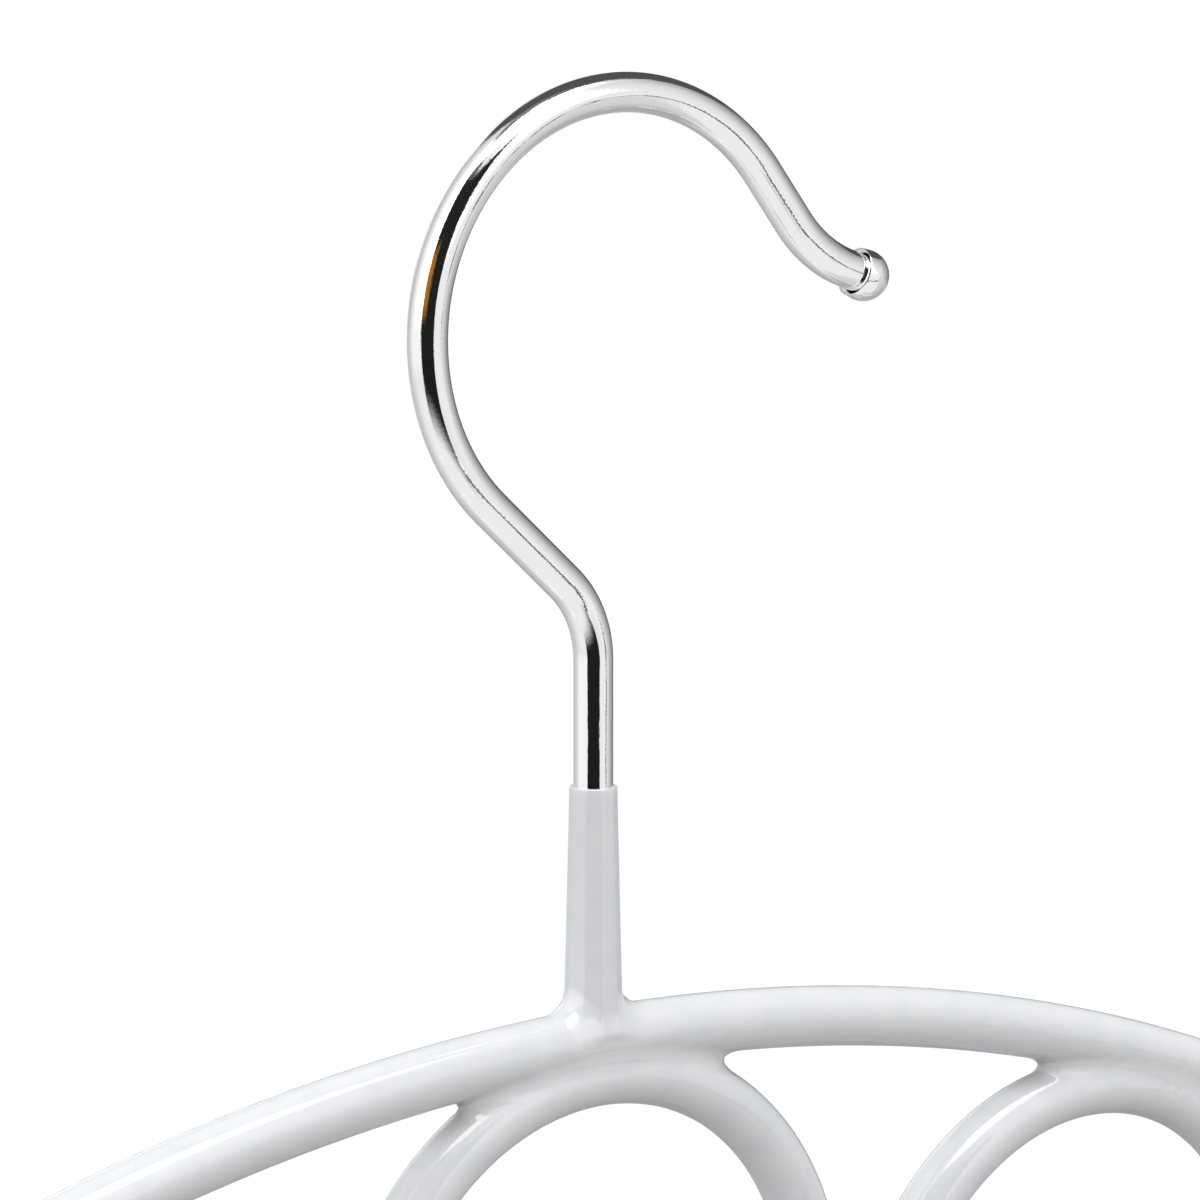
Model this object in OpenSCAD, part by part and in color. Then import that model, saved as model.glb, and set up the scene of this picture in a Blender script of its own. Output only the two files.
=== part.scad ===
// Scarf hanger: a fan of coated wire rings hung from a swivelling wire hook.
// The frame stands in the XZ plane. X runs across it, Z is up, Y is its thickness.
// The origin is on the swivel axis, at the inside of the hook where it rests on the rail.

/* [Wire and coat] */
// Diameter of the steel wire, the same in the hook and the frame
wire_d = 3.8; // [3.4:0.1:4.2]
// Thickness of the white dip coat over the frame wire
coat_t = 1.1; // [0.8:0.1:1.4]
// How far two welded wires are pressed into each other
weld_set = 0.2; // [0.1:0.05:0.3]

/* [Ring fan] */
// Clear diameter of each scarf ring, inside the coat
ring_hole_d = 48.5; // [40:0.5:56]
// Gap between the coats of two neighbouring rings in a row
ring_gap = 3.5; // [2:0.5:6]
// Bend radius of the outer arch, to the middle of the wire
arch_r = 217.4; // [210:0.2:240]
// Number of arches, each with a row of rings hanging below it
row_count = 3; // [1:1:3]
// Number of rings in the outer row, each further row has two fewer
outer_rings = 7; // [5:2:9]
// Length of arch wire that runs on past the last weld
arch_tail = 4; // [3:0.5:8]

/* [Neck] */
// Height of the neck's rim above the middle of the outer arch wire
neck_top = 24.9; // [22:0.1:28]
// Width of the neck over its corners, at the rim
neck_rim_d = 4.6; // [4.5:0.05:5]
// Width of the neck over its corners, at its foot
neck_foot_d = 5.7; // [5.4:0.05:6]
// Number of flats round the neck
neck_flats = 10; // [8:2:10]
// Height of the collar where the coat climbs the neck
collar_h = 5.2; // [4.5:0.1:6]

/* [Hook] */
// Bend radius of the loop, to the middle of the wire
loop_r = 22; // [20:0.5:24]
// Height of the loop's centre above the middle of the outer arch wire
loop_rise = 68.9; // [66:0.1:72]
// How far the loop's centre stands to the right of the swivel axis
loop_shift = 2.9; // [1:0.1:4]
// Slope of the run that leads from the shank up to the loop
lean_deg = 42.5; // [40:0.5:46]
// Slope of the run that comes down from the loop
fall_deg = 52.5; // [48:0.5:56]
// Slope of the turned-out tip
tip_deg = 21; // [15:1:30]
// Bend radius between the shank and the run to the loop
shank_bend_r = 10.5; // [8:0.5:16]
// Bend radius of the turned-out tip
tip_bend_r = 14.8; // [12:0.2:18]
// Length of the straight run that comes down from the loop
fall_run = 6.2; // [4:0.2:9]
// Length of the straight wire at the tip, up to its end in the cap
tip_run = 3; // [2.6:0.2:6]

/* [Tip cap] */
// Diameter of the dome on the tip
cap_d = 5.1; // [4.8:0.1:6]
// Length of the dome's skirt, behind its round end
cap_skirt = 1.2; // [1:0.1:2]
// Depth of the dome's socket for the wire
cap_socket = 1.7; // [1.4:0.1:2]

/* [Swivel fit] */
// Clearance on the radius between the hook's shank and the neck's bore
swivel_gap = 0.05; // [0.03:0.01:0.08]
// Depth of the groove round the shank that holds it in the neck
groove_depth = 0.4; // [0.3:0.05:0.6]
// Length of the neck's bead that sits in the groove
bead_len = 1.2; // [0.8:0.1:1.6]
// Length of shank below the groove
foot_len = 3; // [2:0.5:5]
// Plastic left between the bore's floor and the arch wire
floor_t = 0.8; // [0.6:0.1:1.2]

/* [Hidden] */
$fn = 72;

// Smoothness of the bends, and of the wire's round section
bend_fn = 144;
wire_fn = 48;

// How far a cutting shape runs out past what it cuts
cut_over = 1;

// Coated bar, and the rings that are bent from it
bar_d = wire_d + 2 * coat_t;
ring_r = (ring_hole_d + bar_d) / 2;
ring_step = ring_hole_d + 2 * bar_d + ring_gap;
ring_drop = ring_r + wire_d - weld_set;
row_names = ["outer", "middle", "inner"];

// Height of the point where the rail touches the hook, above the outer arch
seat_rise = loop_rise + sqrt(pow(loop_r - wire_d / 2, 2) - pow(loop_shift, 2));

// The fan: each row is an arch with its rings welded below it
function row_arch_r(row) = arch_r - 2 * row * ring_drop;
function row_ring_r(row) = row_arch_r(row) - ring_drop;
function row_pitch(row) = 2 * asin(ring_step / 2 / row_ring_r(row));
function row_rings(row) = outer_rings - 2 * row;
function ring_angle(row, i) = (i - (row_rings(row) - 1) / 2) * row_pitch(row);
function last_ring_angle(row) = ring_angle(row, row_rings(row) - 1);

// An arch is welded to the rings above it too, so it runs past the last ring on either side
function last_weld(row) = max(last_ring_angle(row), row > 0 ? last_ring_angle(row - 1) : 0);
function arch_half(row, extra) =
    last_weld(row) + (arch_tail + extra) / row_arch_r(row) * 180 / PI;

// Swivel: the bore's floor, the foot of the shank, and the groove with its bead
bore_r = wire_d / 2 + swivel_gap;
bore_floor = wire_d / 2 + floor_t;
shank_foot = bore_floor + swivel_gap;
groove_low = shank_foot + foot_len;
groove_len = bead_len + 2 * swivel_gap;
groove_r = wire_d / 2 - groove_depth;
bead_low = groove_low + swivel_gap;
bead_r = groove_r + swivel_gap;

// The wire swells a little in its bends, and each bend laps over the runs beside it
bend_swell = 0.02;
bend_lap = 0.2;

// Neck: its foot sits over the arch wire, down both sides of it by this much
neck_sink = 0.7;
neck_low = wire_d / 2 - neck_sink;

// Hook's centreline, as X and Z points over the middle of the arch wire
lean_dir = [-cos(lean_deg), sin(lean_deg)];
fall_dir = [cos(fall_deg), -sin(fall_deg)];
tip_dir = [cos(tip_deg), -sin(tip_deg)];
loop_mid = [loop_shift, loop_rise];
loop_from = 270 - lean_deg;
loop_to = 90 - fall_deg;
loop_in = loop_mid + loop_r * [cos(loop_from), sin(loop_from)];
loop_out = loop_mid + loop_r * [cos(loop_to), sin(loop_to)];
shank_turn = 90 - lean_deg;
shank_corner = loop_in - lean_dir * loop_in[0] / lean_dir[0];
shank_tangent = shank_bend_r * tan(shank_turn / 2);
shank_end = shank_corner - [0, shank_tangent];
lean_start = shank_corner + lean_dir * shank_tangent;
fall_end = loop_out + fall_dir * fall_run;
tip_mid = fall_end + tip_bend_r * [sin(fall_deg), cos(fall_deg)];
tip_start = tip_mid - tip_bend_r * [sin(tip_deg), cos(tip_deg)];
tip_end = tip_start + tip_dir * tip_run;

// Cap: its skirt draws in a little towards the rim
cap_draw = 0.12;

// Its back is a hollow cone round the wire, inside a rim of this width, and this deep in its middle
cap_edge = 0.15;
cap_dish = 1;

function ring_node(row, i) = str(row_names[row], "_ring_", i + 1);
function arch_node(row) = str(row_names[row], "_arch");

// Puts what is drawn from the middle of the outer arch wire below the rail
module from_arch() {
    translate([0, 0, -seat_rise])
        children();
}

// A bar of diameter d bent round mid in the XZ plane, from angle a0 to a1
module bent_bar(mid, r, d, a0, a1) {
    translate([mid[0], 0, mid[1]])
        rotate([90, 0, 0])
            rotate([0, 0, a0])
                rotate_extrude(angle = a1 - a0, $fn = bend_fn)
                    translate([r, 0])
                        circle(d = d, $fn = wire_fn);
}

// A bend of the hook wire, which takes in the ends of the straight runs it joins
module hook_bend(mid, r, a0, a1) {
    lap = bend_lap / r * 180 / PI;
    bent_bar(mid, r, wire_d + bend_swell, a0 - lap, a1 + lap);
}

// A straight run of the hook wire between two points of the XZ plane
module hook_run(p, q) {
    run = q - p;
    translate([p[0], 0, p[1]])
        rotate([0, atan2(run[0], run[1]), 0])
            cylinder(d = wire_d, h = norm(run));
}

// One ring of the fan, closed, as a bar of diameter d
module ring_bar(row, i, d) {
    translate([0, 0, -arch_r])
        rotate([0, ring_angle(row, i), 0])
            translate([0, 0, row_ring_r(row)])
                rotate([90, 0, 0])
                    rotate_extrude($fn = bend_fn)
                        translate([ring_r, 0])
                            circle(d = d, $fn = wire_fn);
}

// One arch of the fan, as a bar of diameter d that runs on by extra at each end
module arch_bar(row, d, extra = 0) {
    half = arch_half(row, extra);
    bent_bar([0, -arch_r], row_arch_r(row), d, 90 - half, 90 + half);
}

module hook() {
    color("silver")
        from_arch()
            union() {
                difference() {
                    hook_run([0, shank_foot], shank_end);
                    translate([0, 0, groove_low])
                        difference() {
                            cylinder(d = wire_d + cut_over, h = groove_len);
                            translate([0, 0, -cut_over])
                                cylinder(r = groove_r, h = groove_len + 2 * cut_over);
                        }
                }
                hook_bend(shank_end - [shank_bend_r, 0], shank_bend_r, 0, shank_turn);
                hook_run(lean_start, loop_in);
                hook_bend(loop_mid, loop_r, loop_to, loop_from);
                hook_run(loop_out, fall_end);
                hook_bend(tip_mid, tip_bend_r, -90 - fall_deg, -90 - tip_deg);
                hook_run(tip_start, tip_end);
            }
}

module hook_cap() {
    rim_r = cap_d / 2 - cap_draw;
    color("silver")
        from_arch()
            translate([tip_end[0], 0, tip_end[1]])
                rotate([0, 90 + tip_deg, 0])
                    translate([0, 0, -cap_socket])
                        rotate_extrude()
                            difference() {
                                union() {
                                    polygon([[0, 0], [rim_r, 0], [cap_d / 2, cap_skirt], [0, cap_skirt]]);
                                    intersection() {
                                        translate([0, cap_skirt])
                                            circle(d = cap_d);
                                        translate([0, cap_skirt])
                                            square(cap_d);
                                    }
                                }
                                square([wire_d / 2, cap_socket]);
                                polygon([[0, 0], [rim_r - cap_edge, 0], [0, cap_dish]]);
                            }
}

// The neck's outer shape: flats that draw in towards the rim
module neck_cone() {
    translate([0, 0, neck_low])
        cylinder(d1 = neck_foot_d, d2 = neck_rim_d, h = neck_top - neck_low, $fn = neck_flats);
}

module neck() {
    color("white")
        from_arch()
            difference() {
                neck_cone();
                rotate_extrude()
                    polygon([
                        [0, bore_floor],
                        [bore_r, bore_floor],
                        [bore_r, bead_low],
                        [bead_r, bead_low],
                        [bead_r, bead_low + bead_len],
                        [bore_r, bead_low + bead_len],
                        [bore_r, neck_top + cut_over],
                        [0, neck_top + cut_over]
                    ]);
                arch_bar(0, wire_d);
            }
}

module coat() {
    color("whitesmoke")
        from_arch()
            difference() {
                union() {
                    for (row = [0:row_count - 1]) {
                        arch_bar(row, bar_d, coat_t);
                        for (i = [0:row_rings(row) - 1])
                            ring_bar(row, i, bar_d);
                    }
                    cylinder(d = bar_d, h = collar_h);
                }
                for (row = [0:row_count - 1]) {
                    arch_bar(row, wire_d);
                    for (i = [0:row_rings(row) - 1])
                        ring_bar(row, i, wire_d);
                }
                neck_cone();
            }
}

module arch_wire(row) {
    color("lightsteelblue")
        from_arch()
            arch_bar(row, wire_d);
}

module ring_wire(row, i) {
    color("lightsteelblue")
        from_arch()
            ring_bar(row, i, wire_d);
}

hook();
hook_cap();
neck();
coat();
for (row = [0:row_count - 1]) {
    arch_wire(row);
    for (i = [0:row_rings(row) - 1]) {
        ring_wire(row, i);
    }
}
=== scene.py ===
"""A scarf hanger: a fan of dip-coated wire rings under a bright plated, swivelling wire hook."""

import itertools
import logging
import math
from collections.abc import Callable
from dataclasses import dataclass, field
from enum import Enum

import bpy
import numpy as np
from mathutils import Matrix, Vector


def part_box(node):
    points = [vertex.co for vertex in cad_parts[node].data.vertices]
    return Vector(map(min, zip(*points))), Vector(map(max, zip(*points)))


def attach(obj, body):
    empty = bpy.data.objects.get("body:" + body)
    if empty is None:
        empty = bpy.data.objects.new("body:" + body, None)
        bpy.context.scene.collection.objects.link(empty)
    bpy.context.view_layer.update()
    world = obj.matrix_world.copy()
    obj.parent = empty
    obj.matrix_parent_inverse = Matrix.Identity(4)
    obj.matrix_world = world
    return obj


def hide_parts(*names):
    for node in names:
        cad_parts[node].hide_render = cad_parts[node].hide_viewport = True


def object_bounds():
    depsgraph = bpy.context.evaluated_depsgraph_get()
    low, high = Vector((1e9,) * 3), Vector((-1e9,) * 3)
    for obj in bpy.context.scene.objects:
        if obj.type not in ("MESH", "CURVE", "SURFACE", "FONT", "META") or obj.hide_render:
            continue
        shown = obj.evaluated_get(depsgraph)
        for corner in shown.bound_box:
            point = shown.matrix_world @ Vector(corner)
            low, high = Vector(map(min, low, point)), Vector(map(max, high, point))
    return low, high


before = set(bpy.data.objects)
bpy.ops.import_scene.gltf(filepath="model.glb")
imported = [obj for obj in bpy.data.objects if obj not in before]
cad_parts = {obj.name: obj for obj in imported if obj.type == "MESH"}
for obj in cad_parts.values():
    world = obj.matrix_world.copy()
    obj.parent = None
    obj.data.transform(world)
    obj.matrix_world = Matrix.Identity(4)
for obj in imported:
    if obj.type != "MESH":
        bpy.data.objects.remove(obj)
CAD_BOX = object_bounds()

LOG = logging.getLogger("scarf_hanger")
Tree = bpy.types.NodeTree
Socket = bpy.types.NodeSocket
Settings = dict[str | int, object]
# X, Y and Z of points in millimetres, as three arrays or as the rows of one.
Places = tuple[np.ndarray, ...] | np.ndarray
Distance = Callable[[Places], np.ndarray]

WHITE = (1.0, 1.0, 1.0, 1.0)
TINY = 1e-9
# Degrees in one radian.
DEGREES = 180 / math.pi
# The classes hold their lengths in millimetres, and heights from the middle of the outer arch
# wire. Blender gets metres, from the origin where the rail touches the hook.
MM = 0.001


class Body(Enum):
    """The two rigid bodies of the hanger, by their names in the frame."""

    HOOK = "hook"
    FRAME = "frame"


class Slot(Enum):
    """The record's slots by their names; the new pieces don't take their finish from them."""

    HOOK = "hook_chrome"
    CAP = "cap_chrome"
    NECK = "neck_plastic"
    COAT = "dip_coat"


def linear(hex_code: str) -> tuple[float, float, float, float]:
    """Turns an sRGB hex colour into linear light.

    Args:
        hex_code: Six hex digits after a hash sign.

    Returns:
        Linear red, green, blue and an alpha of 1.
    """
    parts = [int(hex_code[i : i + 2], 16) / 255 for i in (1, 3, 5)]
    light = [c / 12.92 if c <= 0.04045 else ((c + 0.055) / 1.055) ** 2.4 for c in parts]
    return (light[0], light[1], light[2], 1.0)


def add_node(
    tree: Tree,
    kind: str,
    settings: Settings | None = None,
    links: dict[str | int, Socket] | None = None,
) -> bpy.types.Node:
    """Adds one node to a node tree.

    Args:
        tree: The tree that gets the node.
        kind: Blender's name for the type of node, without ShaderNode in front.
        settings: Values for the node's own properties by name, or for its inputs by name or
            number.
        links: Sockets that feed the node's inputs, by the input's name or number.

    Returns:
        The new node.
    """
    node = tree.nodes.new("ShaderNode" + kind)
    for name, value in (settings or {}).items():
        if isinstance(name, str) and hasattr(node, name):
            setattr(node, name, value)
        else:
            node.inputs[name].default_value = value
    for name, source in (links or {}).items():
        tree.links.new(source, node.inputs[name])
    return node


def soft_step(start: float, end: float, rising: bool) -> Settings:
    """Gives a node that maps a range the settings for a soft step.

    Args:
        start: Value at which the step starts.
        end: Value at which it ends.
        rising: Whether the result is 1 above the step, and not below it.

    Returns:
        The settings.
    """
    return {
        "interpolation_type": "SMOOTHSTEP",
        "From Min": start,
        "From Max": end,
        "To Min": 0.0 if rising else 1.0,
        "To Max": 1.0 if rising else 0.0,
    }


def new_material(name: str) -> tuple[bpy.types.Material, Tree]:
    """Makes an empty node material.

    Args:
        name: The material's name.

    Returns:
        The material and its cleared node tree.
    """
    material = bpy.data.materials.new(name)
    material.use_nodes = True
    material.node_tree.nodes.clear()
    return material, material.node_tree


def dress(obj: bpy.types.Object, material: bpy.types.Material) -> None:
    """Gives the whole of an object one material."""
    obj.data.materials.clear()
    obj.data.materials.append(material)


def finish(piece: bpy.types.Object, material: bpy.types.Material, body: Body) -> None:
    """Dresses a new piece, lets it ride on its body and reports it.

    Args:
        piece: The piece.
        material: Its material.
        body: The body that it moves with.
    """
    dress(piece, material)
    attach(piece, body.value)
    LOG.info("%s: %d faces", piece.name, len(piece.data.polygons))


@dataclass(frozen=True)
class BrightPlate:
    """Nickel-chrome plate on drawn steel wire, bright from the bath and not buffed by hand.

    The eye gets a mirror whose reflections have slightly ragged edges, because the fine lines
    of the drawn wire and small pits show through the plate. The real ones are a tenth of a
    millimetre or less, and are drawn as coarse as they need to be to show.
    """

    name: str = "bright_chrome_plate_on_drawn_wire"
    colour: str = "#F4F5F6"
    roughness: float = 0.07
    pit_mm: float = 0.34
    pit_depth_mm: float = 0.006
    line_mm: float = 0.36
    line_length_mm: float = 8.0
    line_depth_mm: float = 0.012

    def build(self) -> bpy.types.Material:
        """Makes the plate's material.

        Returns:
            The material.
        """
        material, tree = new_material(self.name)
        place = add_node(tree, "TexCoord")
        pits = add_node(
            tree,
            "TexNoise",
            {"Scale": 1 / (self.pit_mm * MM), "Detail": 2.0, "Roughness": 0.5},
            {"Vector": place.outputs["Object"]},
        )
        # The map runs round the wire and along it, in metres.
        along = add_node(
            tree,
            "Mapping",
            {"Scale": (1 / (self.line_mm * MM), 1 / (self.line_length_mm * MM), 1.0)},
            {"Vector": place.outputs["UV"]},
        )
        lines = add_node(
            tree,
            "TexNoise",
            {"Scale": 1.0, "Detail": 2.0, "Roughness": 0.6},
            {"Vector": along.outputs["Vector"]},
        )
        pitted = add_node(
            tree,
            "Bump",
            {"Strength": 1.0, "Distance": self.pit_depth_mm * MM},
            {"Height": pits.outputs["Fac"]},
        )
        lined = add_node(
            tree,
            "Bump",
            {"Strength": 1.0, "Distance": self.line_depth_mm * MM},
            {"Height": lines.outputs["Fac"], "Normal": pitted.outputs["Normal"]},
        )
        shader = add_node(
            tree,
            "BsdfPrincipled",
            {"Base Color": linear(self.colour), "Metallic": 1.0, "Roughness": self.roughness},
            {"Normal": lined.outputs["Normal"]},
        )
        add_node(tree, "OutputMaterial", None, {"Surface": shader.outputs["BSDF"]})
        return material


@dataclass(frozen=True)
class DippedVinyl:
    """White plasticised vinyl, dipped hot and cured so that it flows to a gloss.

    The eye gets a soft white body with faint clouds where the coat ran thicker, painted shade
    that greys the corners where bars meet, clear and slightly wavy highlights, and a few tiny
    specks where dust was caught in the dip.
    """

    name: str = "white_vinyl_dipped"
    colour: str = "#E4E6E9"
    cloud_colour: str = "#E0E3E6"
    # The crease colour is painted shade, laid in the corners where bars meet.
    painted_corner_shade_colour: str = "#B9B7B6"
    speck_colour: str = "#B9BABC"
    roughness: float = 0.07
    ior: float = 1.53
    wave_mm: float = 9.0
    wave_depth_mm: float = 0.03
    cloud_mm: float = 3.0
    cloud_step: tuple[float, float] = (0.35, 0.7)
    # How far out the painted shade in the corners reaches, and how it fades in.
    painted_shade_reach_mm: float = 4.5
    painted_shade_step: tuple[float, float] = (0.35, 0.95)
    speck_mm: float = 4.0
    speck_step: tuple[float, float] = (0.015, 0.035)

    def build(self) -> bpy.types.Material:
        """Makes the coat's material.

        Returns:
            The material.
        """
        material, tree = new_material(self.name)
        place = add_node(tree, "TexCoord")
        waves = add_node(
            tree,
            "TexNoise",
            {"Scale": 1 / (self.wave_mm * MM), "Detail": 1.0},
            {"Vector": place.outputs["Object"]},
        )
        clouds = add_node(
            tree,
            "TexNoise",
            {"Scale": 1 / (self.cloud_mm * MM), "Detail": 3.0},
            {"Vector": place.outputs["Object"]},
        )
        # Painted shade: greyer where bars meet and shade a corner, as far out as its own size.
        corners = add_node(
            tree,
            "AmbientOcclusion",
            {"only_local": True, "samples": 8, "Distance": self.painted_shade_reach_mm * MM},
        )
        specks = add_node(
            tree,
            "TexVoronoi",
            {"Scale": 1 / (self.speck_mm * MM), "Randomness": 1.0},
            {"Vector": place.outputs["Object"]},
        )
        tints = (
            (self.cloud_colour, clouds.outputs["Fac"], self.cloud_step, True),
            # Painted shade, darkest deep in the corners.
            (self.painted_corner_shade_colour, corners.outputs["AO"], self.painted_shade_step, False),
            (self.speck_colour, specks.outputs["Distance"], self.speck_step, False),
        )
        body = None
        for tint, value, step, rising in tints:
            mask = add_node(tree, "MapRange", soft_step(*step, rising), {"Value": value})
            share = mask.outputs["Result"]
            mix = add_node(
                tree,
                "Mix",
                {"data_type": "RGBA", 6: linear(self.colour), 7: linear(tint)},
                {0: share} if body is None else {0: share, 6: body},
            )
            body = mix.outputs[2]
        relief = add_node(
            tree,
            "Bump",
            {"Strength": 1.0, "Distance": self.wave_depth_mm * MM},
            {"Height": waves.outputs["Fac"]},
        )
        shader = add_node(
            tree,
            "BsdfPrincipled",
            {"Roughness": self.roughness, "IOR": self.ior},
            {"Base Color": body, "Normal": relief.outputs["Normal"]},
        )
        add_node(tree, "OutputMaterial", None, {"Surface": shader.outputs["BSDF"]})
        return material


@dataclass(frozen=True)
class DrawnSteel:
    """Bare steel wire, drawn through a die, as it is under the coat.

    Where a coat is cut away, the eye would get a dull grey metal with an uneven sheen. The real
    grain is finer, and is drawn as coarse as it needs to be to show.
    """

    name: str = "drawn_steel_wire"
    colour: str = "#A9A9AB"
    roughness: float = 0.38
    uneven: float = 0.08
    grain_mm: float = 0.3

    def build(self) -> bpy.types.Material:
        """Makes the bare wire's material.

        Returns:
            The material.
        """
        material, tree = new_material(self.name)
        place = add_node(tree, "TexCoord")
        grain = add_node(
            tree,
            "TexNoise",
            {"Scale": 1 / (self.grain_mm * MM), "Detail": 3.0},
            {"Vector": place.outputs["Object"]},
        )
        rough = add_node(
            tree,
            "MapRange",
            {"To Min": self.roughness - self.uneven, "To Max": self.roughness + self.uneven},
            {"Value": grain.outputs["Fac"]},
        )
        shader = add_node(
            tree,
            "BsdfPrincipled",
            {"Base Color": linear(self.colour), "Metallic": 1.0},
            {"Roughness": rough.outputs["Result"]},
        )
        add_node(tree, "OutputMaterial", None, {"Surface": shader.outputs["BSDF"]})
        return material


@dataclass(frozen=True)
class BackgroundPaper:
    """White background paper, matt and plain, as it comes off its roll.

    The eye gets a grey that takes the hanger's shadow, and a glow that lifts it to white. The
    light gets a darker grey, so that little of it comes back from below.
    """

    name: str = "matt_white_paper"
    bounce_colour: str = "#818181"
    seen_colour: str = "#AEAEAE"
    seen_glow: float = 0.47

    def build(self) -> bpy.types.Material:
        """Makes the paper's material.

        Returns:
            The material.
        """
        material, tree = new_material(self.name)
        seen = add_node(tree, "LightPath").outputs["Is Camera Ray"]
        tone = add_node(
            tree,
            "Mix",
            {"data_type": "RGBA", 6: linear(self.bounce_colour), 7: linear(self.seen_colour)},
            {0: seen},
        )
        paper = add_node(tree, "BsdfDiffuse", None, {"Color": tone.outputs[2]})
        glow = add_node(tree, "Math", {"operation": "MULTIPLY", 1: self.seen_glow}, {0: seen})
        white = add_node(tree, "Emission", {"Color": WHITE}, {"Strength": glow.outputs["Value"]})
        lit = add_node(
            tree, "AddShader", None, {0: paper.outputs["BSDF"], 1: white.outputs["Emission"]}
        )
        add_node(tree, "OutputMaterial", None, {"Surface": lit.outputs["Shader"]})
        return material


@dataclass(frozen=True)
class Sizes:
    """The hanger's driving sizes in millimetres, the same as the solids are made from."""

    wire_d: float = 3.8
    coat_t: float = 1.1
    weld_set: float = 0.2
    ring_hole_d: float = 48.5
    ring_gap: float = 3.5
    arch_r: float = 217.4
    row_count: int = 3
    outer_rings: int = 7
    arch_tail: float = 4.0
    loop_r: float = 22.0
    loop_rise: float = 68.9
    loop_shift: float = 2.9

    @property
    def wire_r(self) -> float:
        """Radius of the bare wire."""
        return self.wire_d / 2

    @property
    def bar_r(self) -> float:
        """Radius of a coated bar."""
        return self.wire_r + self.coat_t

    @property
    def ring_r(self) -> float:
        """Bend radius of a ring, to the middle of its wire."""
        return self.ring_hole_d / 2 + self.bar_r

    @property
    def ring_step(self) -> float:
        """Distance between the centres of two neighbouring rings in a row."""
        return self.ring_hole_d + 4 * self.bar_r + self.ring_gap

    @property
    def ring_drop(self) -> float:
        """Distance from an arch to the centres of the rings welded to it."""
        return self.ring_r + self.wire_d - self.weld_set

    @property
    def seat_rise(self) -> float:
        """Height of the origin, where the rail touches the hook, above the outer arch."""
        return self.loop_rise + math.sqrt((self.loop_r - self.wire_r) ** 2 - self.loop_shift**2)

    def row_arch_r(self, row: int) -> float:
        """Bend radius of a row's arch."""
        return self.arch_r - 2 * row * self.ring_drop

    def row_ring_r(self, row: int) -> float:
        """Distance from the fan's centre to the centres of a row's rings."""
        return self.row_arch_r(row) - self.ring_drop

    def row_rings(self, row: int) -> int:
        """Number of rings in a row."""
        return self.outer_rings - 2 * row

    def ring_angle(self, row: int, index: int) -> float:
        """Angle of a ring from the vertical about the fan's centre, in radians."""
        pitch = 2 * math.asin(self.ring_step / 2 / self.row_ring_r(row))
        return (index - (self.row_rings(row) - 1) / 2) * pitch


SIZES = Sizes()


@dataclass(frozen=True)
class Bar:
    """One coated bar of the fan, bent round a centre in the XZ plane, in millimetres.

    A ring is closed and has no half angle. An arch runs to its half angle on both sides of
    the vertical, and ends there in a round tip of the coat.
    """

    mid_x: float
    mid_z: float
    bend_r: float
    half: float | None = None

    def gap(self, at: Places, bar_r: float) -> np.ndarray:
        """Distance from points to the bar's surface, negative inside.

        Args:
            at: X, Y and Z of the points.
            bar_r: Radius of the coated bar.

        Returns:
            The distances in millimetres.
        """
        x, y, z = at
        dx = x - self.mid_x
        dz = z - self.mid_z
        flat = np.hypot(dx, dz) - self.bend_r
        if self.half is not None:
            end_x = self.bend_r * math.sin(self.half)
            end_z = self.bend_r * math.cos(self.half)
            past = np.abs(np.arctan2(dx, dz)) > self.half
            flat = np.where(past, np.hypot(np.abs(dx) - end_x, dz - end_z), flat)
        return np.hypot(flat, y) - bar_r


def rounded_union(a: np.ndarray, b: np.ndarray, fillet: np.ndarray | float) -> np.ndarray:
    """Joins two shapes, given as distances, with a hollow fillet where they meet.

    Args:
        a: Distances to the first shape.
        b: Distances to the second shape.
        fillet: Radius of the fillet, which may differ from point to point.

    Returns:
        Distances to the joined shape.
    """
    near_a = np.maximum(fillet - a, 0)
    near_b = np.maximum(fillet - b, 0)
    return np.maximum(fillet, np.minimum(a, b)) - np.hypot(near_a, near_b)


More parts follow.
